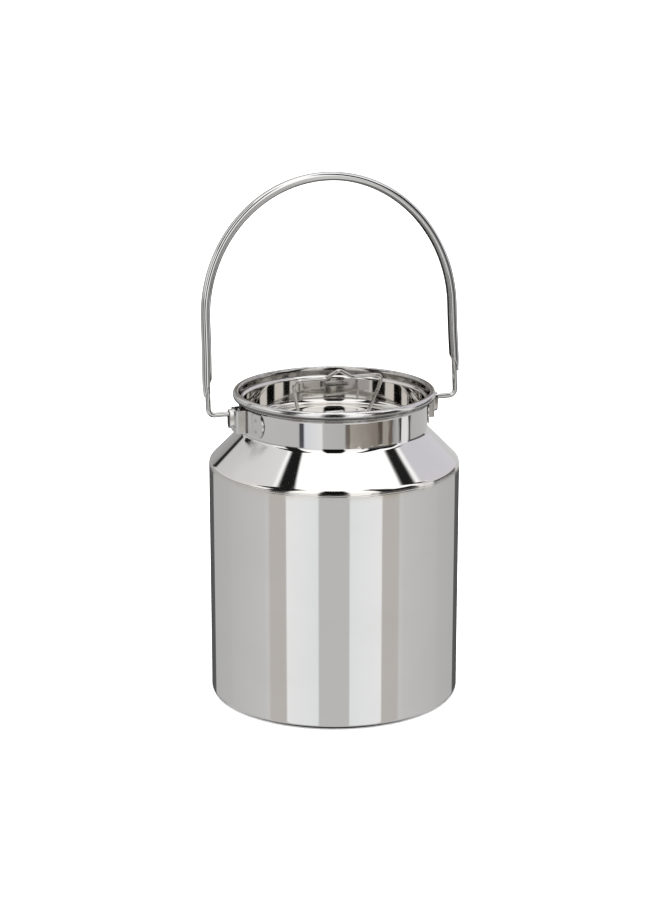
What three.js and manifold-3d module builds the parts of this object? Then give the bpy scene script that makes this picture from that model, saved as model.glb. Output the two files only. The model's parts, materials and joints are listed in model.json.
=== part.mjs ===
// A stainless-steel milk can: a round drawn pot with a coned shoulder, a straight neck and a
// rolled rim, a wire bail with a sheet-metal grip, and a recessed lid with a folding lift ring.
// Millimetres, +Z up. The origin is the centre of the flat base. The bail pivots about a line
// parallel to X, and the front of the can faces -Y.

import * as THREE from 'three';
import { mergeVertices } from 'three/addons/utils/BufferGeometryUtils.js';
import Module from 'manifold-3d';

const wasm = await Module();
wasm.setup();

// ---- Driving dimensions ----------------------------------------------------------------

const GAP = 0.3; // between separate pieces that touch on the real can
const SIDES_ROUND = 48; // facets around the can's axis
const SIDES_WIRE = 8;

const SHEET = 0.8; // wall of the pot, shoulder and ears
const BODY_RADIUS = 80;
const BODY_HEIGHT = 151.4;
const BASE_CORNER = 3;

const SHOULDER_CORNER = 3; // bend between the shoulder's short skirt and its cone
const SHOULDER_SKIRT = 0.5;
const NECK_RADIUS = 59.4;
const NECK_BOTTOM = 174;
const FLARE_BOTTOM = 192; // the neck opens out here, which seats the lid's lip
const RIM_RADIUS = 64.4;
const RIM_TOP = 199.5;
const RIM_WIDTH = 4.2;
const RIM_HEIGHT = 5.5;
const FLARE_RISE = 1.7;

const LID_SHEET = 0.7;
const LID_RADIUS = 58.2;
const LID_FLOOR_TOP = 175.75;
const LID_CORNER = 4.35; // outside bend between floor and wall
const LID_LIP = { flareBottom: 192.1, flareOut: 1.5, flareRise: 1.6, rise: 0.3 };

const RING_WIRE = 2.4;
const RING_PIVOT_HEIGHT = 182.7;
const RING_LEAN = THREE.MathUtils.degToRad(17); // it stands a little forward of upright
const RING = { bottom: 23.5, top: 30.4, height: 26.6, bottomBend: 4, topBend: 5 };
const RING_PEAK = { half: 9, rise: 5.5, bend: 2 }; // the finger peak in the middle of the top bar
const RING_END_GAP = 0.4; // the wire's two ends meet inside the clip

const CLIP = { sheet: 0.8, length: 12, foot: 7.5, footBend: 1.2 };

const EAR = { height: 14.7, bottom: 176.8, halfAngle: 24.2, endRadius: 10 };
const EAR_BOX = { face: 66.8, width: 13, bend: 1.4 };
const EAR_SLOT = { width: 4.2, height: 10.4, top: 190.7, collarWall: 0.8, collarRise: 2.6 };

const BAIL_WIRE = 3.4;
const BAIL_PIVOT_HEIGHT = 188.7;
const BAIL_LEAN = THREE.MathUtils.degToRad(5.8); // it stands a little back from upright
const BAIL = { pivotHalf: 82.9, bend: 5, archHalf: 82, archFoot: 59, archRise: 85 };
const BAIL_HEAD = { radius: 3, thickness: 1.2, inner: 62.7 };
const GRIP = { sheet: 0.7, halfWidth: 3.2, back: 3.3, corner: 2.2, foot: 13 };
const GRIP_LIP = { reach: 2.3, rise: 1.6, turn: 0.9 }; // its edges close in on the wire

// ---- Helpers ---------------------------------------------------------------------------

const steel = (color, roughness) => new THREE.MeshStandardMaterial({ color, roughness, metalness: 1 });

function named(name, geometry, material) {
  const mesh = new THREE.Mesh(geometry, material);
  mesh.name = name;
  return mesh;
}

// The points of a 2-D path, without repeats: straight stretches give only their ends.
function pathPoints(path, divisions) {
  const points = path.getPoints(divisions);
  return points.filter((p, i) => i === 0 || p.distanceTo(points[i - 1]) > 1e-6);
}

// The closed outline of a bent sheet, from the path of its middle surface and its thickness.
function sheetOutline(path, thickness, divisions = 3) {
  const middle = pathPoints(path, divisions);
  const left = [];
  const right = [];
  middle.forEach((p, i) => {
    const before = i > 0 ? p.clone().sub(middle[i - 1]).normalize() : null;
    const after = i < middle.length - 1 ? middle[i + 1].clone().sub(p).normalize() : null;
    const along = (before ?? after).clone().add(after ?? before).normalize();
    const turn = before && after ? along.dot(before) : 1;
    const offset = new THREE.Vector2(-along.y, along.x).multiplyScalar(thickness / 2 / turn);
    left.push(p.clone().add(offset));
    right.push(p.clone().sub(offset));
  });
  return [...right, ...left.reverse()];
}

// A solid of revolution about +Z from a closed outline of (radius, height) points.
function turned(outline) {
  const closed = [...outline];
  if (outline[0].x > 1e-6) closed.push(outline[0].clone());
  return new THREE.LatheGeometry(closed, SIDES_ROUND).rotateX(Math.PI / 2);
}

// A path in the XZ plane, read from a 2-D path.
class UprightCurve extends THREE.Curve {
  constructor(path) {
    super();
    this.path = path;
    this.arcLengthDivisions = 800;
  }

  getPoint(t, target = new THREE.Vector3()) {
    const p = this.path.getPoint(t);
    return target.set(p.x, 0, p.y);
  }
}

function circleShape(radius, sides) {
  const points = Array.from({ length: sides }, (_, i) => {
    const angle = (2 * Math.PI * (i + 0.5)) / sides;
    return new THREE.Vector2(radius * Math.cos(angle), radius * Math.sin(angle));
  });
  return new THREE.Shape(points);
}

function swept(shape, path, steps) {
  const extrudePath = new UprightCurve(path);
  return new THREE.ExtrudeGeometry(shape, { steps, extrudePath });
}

// A closed mesh as a solid that can be joined to others or cut by them, and back again.
function solid(geometry) {
  const bare = geometry.clone();
  bare.deleteAttribute('normal');
  bare.deleteAttribute('uv');
  const merged = mergeVertices(bare.index ? bare.toNonIndexed() : bare, 1e-4);
  const vertProperties = new Float32Array(merged.attributes.position.array);
  const triVerts = new Uint32Array(merged.index.array);
  return new wasm.Manifold(new wasm.Mesh({ numProp: 3, vertProperties, triVerts }));
}

function geometryOf(manifold) {
  const mesh = manifold.getMesh();
  const geometry = new THREE.BufferGeometry();
  geometry.setAttribute('position', new THREE.BufferAttribute(mesh.vertProperties, 3));
  geometry.setIndex(new THREE.BufferAttribute(mesh.triVerts, 1));
  return geometry;
}

// ---- The can ---------------------------------------------------------------------------

function bodyGeometry() {
  const wall = BODY_RADIUS - SHEET / 2;
  const floor = SHEET / 2;
  const bend = BASE_CORNER - SHEET / 2;
  const path = new THREE.Path();
  path.moveTo(0, floor);
  path.lineTo(wall - bend, floor);
  path.absarc(wall - bend, floor + bend, bend, -Math.PI / 2, 0);
  path.lineTo(wall, BODY_HEIGHT);
  return turned(sheetOutline(path, SHEET));
}

function shoulderGeometry() {
  const skirt = BODY_RADIUS - SHEET / 2;
  const neck = NECK_RADIUS - SHEET / 2;
  const skirtBottom = BODY_HEIGHT + GAP;
  const slope = Math.atan2(skirt - neck, NECK_BOTTOM - skirtBottom); // of the cone, from upright
  const rim = {
    x: RIM_RADIUS - RIM_WIDTH / 2,
    y: RIM_TOP - RIM_HEIGHT / 2,
    halfWidth: (RIM_WIDTH - SHEET) / 2,
    halfHeight: (RIM_HEIGHT - SHEET) / 2,
  };
  const curlEnd = -Math.PI / 2; // the curl stops short of the neck, so it is open below
  const path = new THREE.Path();
  path.moveTo(skirt, skirtBottom);
  path.absarc(skirt - SHOULDER_CORNER, skirtBottom + SHOULDER_SKIRT, SHOULDER_CORNER, 0, slope);
  path.lineTo(neck, NECK_BOTTOM);
  path.lineTo(neck, FLARE_BOTTOM);
  path.lineTo(rim.x - rim.halfWidth, FLARE_BOTTOM + FLARE_RISE);
  path.absellipse(rim.x, rim.y, rim.halfWidth, rim.halfHeight, Math.PI, curlEnd, true);
  return turned(sheetOutline(path, SHEET));
}

// ---- The ears --------------------------------------------------------------------------

// A vertical slot outline with round ends, in (y, z).
function slotShape(width, height, top) {
  const radius = width / 2;
  const shape = new THREE.Shape();
  shape.moveTo(radius, top - height + radius);
  shape.lineTo(radius, top - radius);
  shape.absarc(0, top - radius, radius, 0, Math.PI);
  shape.lineTo(-radius, top - height + radius);
  shape.absarc(0, top - height + radius, radius, Math.PI, 2 * Math.PI);
  return shape;
}

// A shape drawn in (y, z), extruded along +X from one distance to another.
function alongX(shape, from, to) {
  const options = { depth: to - from, bevelEnabled: false, curveSegments: 6 };
  const geometry = new THREE.ExtrudeGeometry(shape, options);
  return geometry.rotateX(Math.PI / 2).rotateZ(Math.PI / 2).translate(from, 0, 0);
}

// The strip as seen from above: two feet that follow the neck and a box between them.
function earStripPath() {
  const foot = NECK_RADIUS + GAP + SHEET / 2;
  const face = EAR_BOX.face - SHEET / 2;
  const side = (EAR_BOX.width - SHEET) / 2;
  const bend = EAR_BOX.bend;
  const end = THREE.MathUtils.degToRad(EAR.halfAngle + 1);
  const root = Math.asin(side / foot);
  const path = new THREE.Path();
  path.absarc(0, 0, foot, -end, -root);
  path.lineTo(face - bend, -side);
  path.absarc(face - bend, -side + bend, bend, -Math.PI / 2, 0);
  path.lineTo(face, side - bend);
  path.absarc(face - bend, side - bend, bend, 0, Math.PI / 2);
  path.absarc(0, 0, foot, root, end);
  return path;
}

// The strip's outline as seen from outside: straight edges and shallow rounded ends.
function earBlank() {
  const middle = EAR.bottom + EAR.height / 2;
  const reach = NECK_RADIUS * Math.sin(THREE.MathUtils.degToRad(EAR.halfAngle));
  const centre = reach - EAR.endRadius;
  const swing = Math.asin(EAR.height / 2 / EAR.endRadius);
  const shape = new THREE.Shape();
  shape.absarc(centre, middle, EAR.endRadius, -swing, swing);
  shape.absarc(-centre, middle, EAR.endRadius, Math.PI - swing, Math.PI + swing);
  return shape;
}

function earGeometry() {
  const outline = new THREE.Shape(sheetOutline(earStripPath(), SHEET));
  const strip = new THREE.ExtrudeGeometry(outline, { depth: EAR.height, bevelEnabled: false });
  strip.translate(0, 0, EAR.bottom);
  const wall = EAR_SLOT.collarWall;
  const collar = slotShape(EAR_SLOT.width + 2 * wall, EAR_SLOT.height + 2 * wall, EAR_SLOT.top + wall);
  const slot = slotShape(EAR_SLOT.width, EAR_SLOT.height, EAR_SLOT.top);
  const { face } = EAR_BOX;
  const pressed = solid(strip)
    .intersect(solid(alongX(earBlank(), NECK_RADIUS / 2, face + 1)))
    .add(solid(alongX(collar, face - SHEET / 2, face + EAR_SLOT.collarRise)))
    .subtract(solid(alongX(slot, face - 2 * SHEET, face + 2 * EAR_SLOT.collarRise)));
  return geometryOf(pressed);
}

// ---- The bail --------------------------------------------------------------------------

// The half arch and leg on +X, from the foot up to the crown, in (x, height over the pivot).
function addBailSide(path, foot) {
  const { pivotHalf, archHalf, archFoot, archRise } = BAIL;
  path.moveTo(pivotHalf, foot);
  path.bezierCurveTo(pivotHalf, archFoot / 2, archHalf, archFoot / 2, archHalf, archFoot);
  path.absellipse(0, archFoot, archHalf, archRise, 0, Math.PI);
  path.bezierCurveTo(-archHalf, archFoot / 2, -pivotHalf, archFoot / 2, -pivotHalf, foot);
}

function bailWireGeometry() {
  const { pivotHalf, bend } = BAIL;
  const path = new THREE.Path();
  path.moveTo(BAIL_HEAD.inner, 0);
  path.lineTo(pivotHalf - bend, 0);
  path.absarc(pivotHalf - bend, bend, bend, -Math.PI / 2, 0);
  addBailSide(path, bend);
  path.absarc(-pivotHalf + bend, bend, bend, Math.PI, 1.5 * Math.PI);
  path.lineTo(-BAIL_HEAD.inner, 0);
  const wire = solid(swept(circleShape(BAIL_WIRE / 2, SIDES_WIRE), path, 130));
  const heads = [1, -1].map((side) => {
    const { radius, thickness, inner } = BAIL_HEAD;
    const head = new THREE.CylinderGeometry(radius, radius, thickness, 16).rotateZ(Math.PI / 2);
    return solid(head.translate(side * (inner + thickness / 2), 0, 0));
  });
  return geometryOf(wire.add(heads[0]).add(heads[1]));
}

// The grip is a channel folded round the wire from outside. Its section is drawn with x towards
// the crown's outside and y across the bail.
function gripGeometry() {
  const { sheet, halfWidth, back, corner, foot } = GRIP;
  const { reach, rise, turn } = GRIP_LIP;
  const side = halfWidth - sheet / 2;
  const outer = back - sheet / 2;
  const section = new THREE.Path();
  section.moveTo(-reach, -side + turn);
  section.lineTo(-reach + rise, -side);
  section.lineTo(outer - corner, -side);
  section.absarc(outer - corner, -side + corner, corner, -Math.PI / 2, 0);
  section.absarc(outer - corner, side - corner, corner, 0, Math.PI / 2);
  section.lineTo(-reach + rise, side);
  section.lineTo(-reach, side - turn);
  const path = new THREE.Path();
  addBailSide(path, foot);
  return swept(new THREE.Shape(sheetOutline(section, sheet, 1)), path, 64);
}

// ---- The lid ---------------------------------------------------------------------------

function lidPanGeometry() {
  const floor = LID_FLOOR_TOP - LID_SHEET / 2;
  const wall = LID_RADIUS - LID_SHEET / 2;
  const bend = LID_CORNER - LID_SHEET / 2;
  const lip = wall + LID_LIP.flareOut;
  const lipBottom = LID_LIP.flareBottom + LID_LIP.flareRise;
  const path = new THREE.Path();
  path.moveTo(0, floor);
  path.lineTo(wall - bend, floor);
  path.absarc(wall - bend, floor + bend, bend, -Math.PI / 2, 0);
  path.lineTo(wall, LID_LIP.flareBottom);
  path.lineTo(lip, lipBottom);
  path.lineTo(lip, lipBottom + LID_LIP.rise);
  return turned(sheetOutline(path, LID_SHEET));
}

// The ring is one bent wire, drawn about its bottom bar, whose ends meet in the middle.
function ringGeometry() {
  const { bottom, top, height, bottomBend, topBend } = RING;
  const { half, rise, bend } = RING_PEAK;
  const lean = Math.atan2(top - bottom, height);
  const climb = (bend * rise) / half;
  const up = (along) => new THREE.Vector2(Math.sin(lean), Math.cos(lean)).multiplyScalar(along);
  const right = [
    [new THREE.Vector2(bottom - bottomBend, 0), new THREE.Vector2(bottom, 0),
      new THREE.Vector2(bottom, 0).add(up(bottomBend))],
    [new THREE.Vector2(top, height).sub(up(topBend)), new THREE.Vector2(top, height),
      new THREE.Vector2(top - topBend, height)],
    [new THREE.Vector2(half + bend, height), new THREE.Vector2(half, height),
      new THREE.Vector2(half - bend, height + climb)],
    [new THREE.Vector2(bend, height + rise - climb), new THREE.Vector2(0, height + rise),
      new THREE.Vector2(-bend, height + rise - climb)],
  ];
  const mirrored = (corner) => corner.map((p) => new THREE.Vector2(-p.x, p.y)).reverse();
  const left = right.slice(0, 3).map(mirrored).reverse();
  const path = new THREE.Path();
  path.moveTo(RING_END_GAP / 2, 0);
  [...right, ...left].forEach(([from, corner, to]) => {
    path.lineTo(from.x, from.y);
    path.quadraticCurveTo(corner.x, corner.y, to.x, to.y);
  });
  path.lineTo(-RING_END_GAP / 2, 0);
  return swept(circleShape(RING_WIRE / 2, SIDES_WIRE), path, 80);
}

// The clip is a strap folded over the ring's bottom bar, with its feet on the lid's floor.
function clipGeometry() {
  const { sheet, length, foot, footBend } = CLIP;
  const feet = LID_FLOOR_TOP + GAP + sheet / 2;
  const hold = RING_WIRE / 2 + GAP + sheet / 2;
  const path = new THREE.Path();
  path.moveTo(-foot, feet);
  path.lineTo(-hold - footBend, feet);
  path.absarc(-hold - footBend, feet + footBend, footBend, -Math.PI / 2, 0);
  path.absarc(0, RING_PIVOT_HEIGHT, hold, Math.PI, 0, true);
  path.absarc(hold + footBend, feet + footBend, footBend, Math.PI, 1.5 * Math.PI);
  path.lineTo(foot, feet);
  return alongX(new THREE.Shape(sheetOutline(path, sheet, 4)), -length / 2, length / 2);
}

// ---- Assembly --------------------------------------------------------------------------

const milkCan = new THREE.Group();
milkCan.add(named('can_body', bodyGeometry(), steel(0xc9cacc, 0.12)));
milkCan.add(named('shoulder_neck', shoulderGeometry(), steel(0xcccdcf, 0.12)));

const earRight = named('ear_right', earGeometry(), steel(0xc4c4c0, 0.2));
const earLeft = named('ear_left', earGeometry(), steel(0xc4c4c0, 0.2));
earLeft.rotation.z = Math.PI;
milkCan.add(earRight, earLeft);

const bail = new THREE.Group();
bail.position.z = BAIL_PIVOT_HEIGHT;
bail.rotation.x = -BAIL_LEAN;
bail.add(named('bail_wire', bailWireGeometry(), steel(0xbdbec0, 0.18)));
bail.add(named('bail_grip', gripGeometry(), steel(0xc6c8ca, 0.14)));
milkCan.add(bail);

milkCan.add(named('lid_pan', lidPanGeometry(), steel(0xcacac8, 0.12)));
milkCan.add(named('lid_ring_clip', clipGeometry(), steel(0xc2c2c0, 0.2)));
const ring = named('lid_ring', ringGeometry(), steel(0xc8c6c2, 0.18));
ring.position.z = RING_PIVOT_HEIGHT;
ring.rotation.x = RING_LEAN;
milkCan.add(ring);

export default milkCan;
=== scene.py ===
"""The looks of a stainless-steel milk can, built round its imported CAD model.

Each CAD node is replaced by a finer mesh in the same place, within 1 mm of its size: turned, swept
and pressed steel with rounded edges. Lengths are in millimetres and angles in degrees, except where
Blender is given metres and radians.
"""

import json
import math
from collections.abc import Callable
from typing import NamedTuple

import bmesh
import bpy
from mathutils import Matrix, Vector, noise


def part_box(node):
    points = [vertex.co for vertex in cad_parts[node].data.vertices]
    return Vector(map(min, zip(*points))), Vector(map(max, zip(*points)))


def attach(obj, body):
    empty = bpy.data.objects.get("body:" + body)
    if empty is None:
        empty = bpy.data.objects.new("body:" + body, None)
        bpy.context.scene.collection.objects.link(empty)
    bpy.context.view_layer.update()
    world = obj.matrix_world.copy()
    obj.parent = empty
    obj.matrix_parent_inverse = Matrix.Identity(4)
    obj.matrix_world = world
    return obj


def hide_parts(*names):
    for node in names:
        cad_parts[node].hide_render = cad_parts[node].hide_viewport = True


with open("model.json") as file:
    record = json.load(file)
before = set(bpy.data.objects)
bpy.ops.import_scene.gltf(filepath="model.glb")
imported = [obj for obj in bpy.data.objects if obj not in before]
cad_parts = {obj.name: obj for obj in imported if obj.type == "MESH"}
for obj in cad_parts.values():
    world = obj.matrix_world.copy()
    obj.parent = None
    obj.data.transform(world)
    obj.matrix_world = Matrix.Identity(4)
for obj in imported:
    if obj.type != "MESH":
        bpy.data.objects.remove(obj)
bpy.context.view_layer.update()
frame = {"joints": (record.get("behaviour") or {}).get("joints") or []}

MM = 0.001
INSIDE = 0.05  # the pot's wall stays this far inside the CAD's, and the floor this far below its foot


def low(node):
    """The lowest corner of a CAD node, in millimetres."""
    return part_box(node)[0] / MM


def high(node):
    """The highest corner of a CAD node, in millimetres."""
    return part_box(node)[1] / MM


def pivot_height(joint):
    """How high a joint's pivot is, in millimetres."""
    return next(j["pos_m"][2] for j in frame["joints"] if j["name"] == joint) / MM


# ---- Sizes -----------------------------------------------------------------------------

SHEET = 0.8  # wall of the pot, shoulder, ears and clip
POT_RADIUS = high("can_body").x - INSIDE
POT_TOP = high("can_body").z
POT_BEND = 2.6
BASE_PANEL = {"radius": 60, "rise": 0.6, "slope": 2.5, "bend": 3}  # pressed up inside the foot

SHOULDER_BOTTOM = low("shoulder_neck").z - 0.2  # reaches down towards the pot, behind the weld
SHOULDER_BEND_HEIGHT = 153.4  # where the upright edge and the cone would meet
SHOULDER_BEND = 4
NECK_RADIUS = 59.4
NECK_BOTTOM = 174
NECK_BEND = 4
FLARE_BOTTOM = 192
FLARE_BEND = 1.6
RIM_RADIUS = 64.4
RIM_TOP = high("shoulder_neck").z
RIM_WIDTH = 4.2
RIM_HEIGHT = 5.5
RIM_CURL_END = -150  # the curl's edge is tucked in under the rim

SEAM_HEIGHT = 151.5  # the heat tint lies about here
WELD = {"height": 0.9, "depth": 0.3, "proud": 0.025, "wander": 0.18}
WELD_UNEVEN = {"height": 0.25, "proud": 0.9}  # shares by which the bead's size varies
WELD_RIPPLES = {"height": 14, "wander": 7, "proud": 30.8}  # how quickly it varies round the can
WELD_STEPS = 720
WELD_SIDES = 12

LID_SHEET = 0.7
LID_CAD_LIP = 1.5  # how far the CAD lid's lip stands out from its wall
LID_RADIUS = high("lid_pan").x - LID_CAD_LIP
LID_FLOOR_TOP = 175.75
LID_BEND = 4
LID_LIP = {"bottom": 192.9, "out": 1.45, "rise": 1.0, "foot_bend": 1.0, "bend": 0.5}
LID_TOP = high("lid_pan").z

RING_WIRE = 2.4
RING_HEIGHT = pivot_height("ring_fold")
RING_LEAN = 17
RING = {"bottom": 23.5, "top": 30.4, "height": 26.6, "bottom_bend": 3.4, "top_bend": 4.2}
RING_PEAK = {"half": 9, "rise": 5.5, "foot_bend": 5, "bend": 2.6}
RING_END_GAP = 0.4
RING_END = ((0, 0.75), (0.1, 0.93), (0.3, 1))  # (distance from the end, share of the radius)

CLIP = {"length": 12, "foot": 7.5, "foot_bend": 1.2, "play": 0.3}
CLIP_EDGE = ((0, 0.4), (0.1, 0.78), (0.3, 1))  # (distance from the edge, share of the thickness)

EAR_BOTTOM = low("ear_right").z
EAR_TOP = high("ear_right").z
EAR_GAP = 0.3
EAR_END = {"angle": 24.2, "radius": 10}
EAR_BOX = {"face": 66.8, "width": 13, "bend": 1.4, "root_bend": 0.9}
EAR_SLOT = {"width": 4.2, "height": 10.4, "top": 190.7, "wall": 1.1, "rise": 3.2, "flare": 0.5}
EAR_SPARE = {"height": 0.6, "turn": 1, "out": 4}  # what the uncut strip and its cutter have to spare
EAR_ROOT_TURN = 2  # degrees of foot that a root's bend takes up
EAR_EDGE = {"width": 0.16, "segments": 2, "angle": 40}
COLLAR_EDGE = ((-0.5, 0), (-0.1, -0.1), (0, -0.3))  # (x past the collar's end, growth of its outline)
SLOT_MOUTH = ((-0.6, 0), (-0.15, 1 / 3), (0.05, 1))  # (x past the collar's end, share of the flare)

WELD_SPOT = {"side": 17.5, "apart": 7, "radius": 1.5, "core": 0.675}

BAIL_HEIGHT = pivot_height("bail_swing")
BAIL_LEAN = -5.8
BAIL_WIRE = 3.36
BAIL = {"pivot": 82.9, "bend": 3.8, "arch": 82, "arch_foot": 59, "arch_rise": 85, "end": 62.7}
BAIL_STEPS = 40  # in each leg's slow curve
BAIL_HEAD = {"radius": 2.95, "thickness": 1.2}
GRIP = {"sheet": 0.7, "half_width": 3.2, "back": 3.18, "bend": 2.2, "tip_back": 2.45, "taper": 14}
GRIP_LIP = {"reach": 2.3, "rise": 1.6, "turn": 0.9, "bend": 1.2}
GRIP_EDGE = ((0, 0.4), (0.1, 0.75), (0.3, 1))  # (distance from the tip, share of the thickness)
GRIP_STEPS = 220
GRIP_FOOT = {"right": 15.5, "left": 12, "cut": 11}  # tips over the pivot, and the slant's length

TURNS = 256  # steps round the can's axis
WIRE_SIDES = 28
WIRE_STEP = {"bail": 1.1, "ring": 0.5}
ARC_STEP = math.radians(6)
HOLD = 0.25  # a point this close to each bend keeps the straight stretch beside it flat

# ---- Outlines --------------------------------------------------------------------------


def arc(centre, radii, start, end, step=ARC_STEP):
    """Points along an arc or a piece of an ellipse, in degrees."""
    a, b = math.radians(start), math.radians(end)
    steps = max(3, math.ceil(abs(b - a) / step))
    points = []
    for k in range(steps + 1):
        t = a + (b - a) * k / steps
        points.append(Vector((centre[0] + radii[0] * math.cos(t), centre[1] + radii[1] * math.sin(t))))
    return points


def straight(points, end):
    """Carries points on to end, with a point held near each end of the stretch."""
    start = points[-1]
    length = (end - start).length
    if length > 3 * HOLD:
        points += [start.lerp(end, HOLD / length), end.lerp(start, HOLD / length)]
    if length > 1e-4:
        points.append(end)


def rounded(*corners):
    """A line through corners given as (x, y) or (x, y, bend radius)."""
    points = [Vector(corners[0][:2])]
    for previous, corner, following in zip(corners, corners[1:], corners[2:]):
        at = Vector(corner[:2])
        radius = corner[2] if len(corner) > 2 else 0
        if not radius:
            straight(points, at)
            continue
        back = (Vector(previous[:2]) - at).normalized()
        on = (Vector(following[:2]) - at).normalized()
        half = back.angle(on) / 2
        centre = at + (back + on).normalized() * (radius / math.sin(half))
        first = at + back * (radius / math.tan(half))
        straight(points, first)
        turn = (math.pi - 2 * half) * (1 if back.y * on.x - back.x * on.y > 0 else -1)
        steps = max(4, math.ceil(abs(turn) / ARC_STEP))
        for k in range(1, steps + 1):
            points.append(centre + Matrix.Rotation(turn * k / steps, 2) @ (first - centre))
    straight(points, Vector(corners[-1][:2]))
    return points


def bezier(a, b, c, d, steps):
    """Points along a cubic Bezier curve, without its first."""
    a, b, c, d = map(Vector, (a, b, c, d))
    made = []
    for k in range(1, steps + 1):
        t = k / steps
        u = 1 - t
        made.append(a * u**3 + b * 3 * u * u * t + c * 3 * u * t * t + d * t**3)
    return made


def direction(points, i):
    """The direction of a line at its point i, and the cosine of half its turn there."""
    before = (points[i] - points[i - 1]).normalized() if i else None
    after = (points[i + 1] - points[i]).normalized() if i < len(points) - 1 else None
    along = ((before or after) + (after or before)).normalized()
    return along, along.dot(before) if before and after else 1.0


EDGE_STEPS = 6


def edge_arc(centre, along, half):
    """The rounded edge of a sheet, from its right side round to its left."""
    side = Vector((along.y, -along.x)) * half
    return [centre + Matrix.Rotation(math.pi * k / EDGE_STEPS, 2) @ side for k in range(EDGE_STEPS + 1)]


def pulled_in(points, half):
    """The line without its last half thickness, where the rounded edge goes."""
    end = points[-1]
    kept = [p for p in points[:-1] if (p - end).length > half + 1.5 * HOLD]
    along = (end - kept[-1]).normalized()
    return kept + [end - along * (half + HOLD), end - along * half]


def sheet_outline(middle, thickness, round_start=True):
    """The closed outline of a bent sheet about its middle line, and each outline point's middle point.

    The far edge is rounded, and the near one too unless it is on the axis.
    """
    half = thickness / 2
    middle = pulled_in(middle, half)
    if round_start:
        middle = pulled_in(middle[::-1], half)[::-1]
    left, right = [], []
    for i, p in enumerate(middle):
        along, turn = direction(middle, i)
        side = Vector((-along.y, along.x)) * (half / turn)
        left.append(p + side)
        right.append(p - side)
    first, last = direction(middle, 0)[0], direction(middle, len(middle) - 1)[0]
    end_edge = edge_arc(middle[-1], last, half)[1:-1]
    outline = right + end_edge + left[::-1]
    spine = middle + [middle[-1]] * len(end_edge) + middle[::-1]
    if round_start:
        start_edge = edge_arc(middle[0], -first, half)[1:-1]
        outline += start_edge
        spine += [middle[0]] * len(start_edge)
    return outline, spine


def sheet_cap(outline):
    """The faces that close a bent sheet's outline across its thickness, as outline positions."""
    count = len(outline)
    sheet_points = (count - 2 * (EDGE_STEPS - 1)) // 2
    mirror = 2 * sheet_points + EDGE_STEPS - 2
    faces = []
    for i in range(-(EDGE_STEPS // 2), sheet_points + EDGE_STEPS // 2 - 1):
        quad = [i % count, (i + 1) % count, (mirror - i - 1) % count, (mirror - i) % count]
        faces.append(list(dict.fromkeys(quad)))
    return faces


# ---- Meshes ----------------------------------------------------------------------------


def outward_mesh(name, vertices, faces):
    """A mesh whose faces all look outwards."""
    mesh = bpy.data.meshes.new(name)
    mesh.from_pydata(vertices, [], faces)
    bm = bmesh.new()
    bm.from_mesh(mesh)
    bmesh.ops.recalc_face_normals(bm, faces=bm.faces)
    bm.to_mesh(mesh)
    bm.free()
    return mesh


def add_object(name, data):
    made = bpy.data.objects.new(name, data)
    bpy.context.scene.collection.objects.link(made)
    return made


def piece(name, vertices, faces, body, node, slot, material, lay=None):
    """A smooth mesh that rides on a body and stands for a CAD node.

    lay is where each vertex is on a wire or strip, as (along it, outwards, sideways).
    """
    mesh = outward_mesh(name, [Vector(v) * MM for v in vertices], faces)
    mesh.shade_smooth()
    if lay:
        attribute = mesh.attributes.new("lay", "FLOAT_VECTOR", "POINT")
        attribute.data.foreach_set("vector", [c * MM for v in lay for c in v])
    mesh.materials.append(material)
    made = add_object(name, mesh)
    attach(made, body)
    if node:
        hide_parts(node)
    return made


def turned(outline):
    """The vertices and faces of an outline of (radius, height) turned about the can's axis."""
    vertices, faces, rings = [], [], []
    for p in outline:
        count = 1 if p.x < 1e-6 else TURNS
        rings.append(range(len(vertices), len(vertices) + count))
        for k in range(count):
            angle = 2 * math.pi * k / TURNS
            vertices.append((p.x * math.sin(angle), -p.x * math.cos(angle), p.y))
    for a, b in zip(rings, rings[1:] + rings[:1]):
        if len(a) == len(b) == 1:
            continue
        for k in range(TURNS):
            m = (k + 1) % TURNS
            quad = [a[k % len(a)], a[m % len(a)], b[m % len(b)], b[k % len(b)]]
            faces.append(list(dict.fromkeys(quad)))
    return vertices, faces


def lofted(rings, caps):
    """The vertices and faces of a skin over rings of points, with its ends closed by caps of positions."""
    count = len(rings[0])
    vertices = [v for ring in rings for v in ring]
    faces = []
    for r in range(len(rings) - 1):
        for k in range(count):
            m = (k + 1) % count
            a, b = r * count, (r + 1) * count
            faces.append([a + k, a + m, b + m, b + k])
    far = (len(rings) - 1) * count
    faces += [list(reversed(cap)) for cap in caps]
    faces += [[far + k for k in cap] for cap in caps]
    return vertices, faces


class Wire:
    """A line in the XZ plane that positions and normals can be read from at any distance along it."""

    def __init__(self, points):
        self.points = points
        self.at_point = [0.0]
        for a, b in zip(points, points[1:]):
            self.at_point.append(self.at_point[-1] + (b - a).length)
        self.length = self.at_point[-1]
        self.along = [direction(points, i)[0] for i in range(len(points))]

    def at(self, distance):
        """(position, direction away from the arch's inside) at a distance along the line."""
        i = 0
        while i < len(self.points) - 2 and self.at_point[i + 1] < distance:
            i += 1
        share = (distance - self.at_point[i]) / (self.at_point[i + 1] - self.at_point[i])
        p = self.points[i].lerp(self.points[i + 1], share)
        along = self.along[i].lerp(self.along[i + 1], share).normalized()
        return Vector((p.x, 0, p.y)), Vector((along.y, 0, -along.x))

    def distance_of_height(self, height):
        """How far along the line first reaches a height."""
        i = next(i for i, p in enumerate(self.points) if p.y >= height)
        a, b = self.points[i - 1], self.points[i]
        stretch = self.at_point[i] - self.at_point[i - 1]
        return self.at_point[i - 1] + stretch * (height - a.y) / (b.y - a.y)


Y_AXIS = Vector((0, 1, 0))


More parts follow.
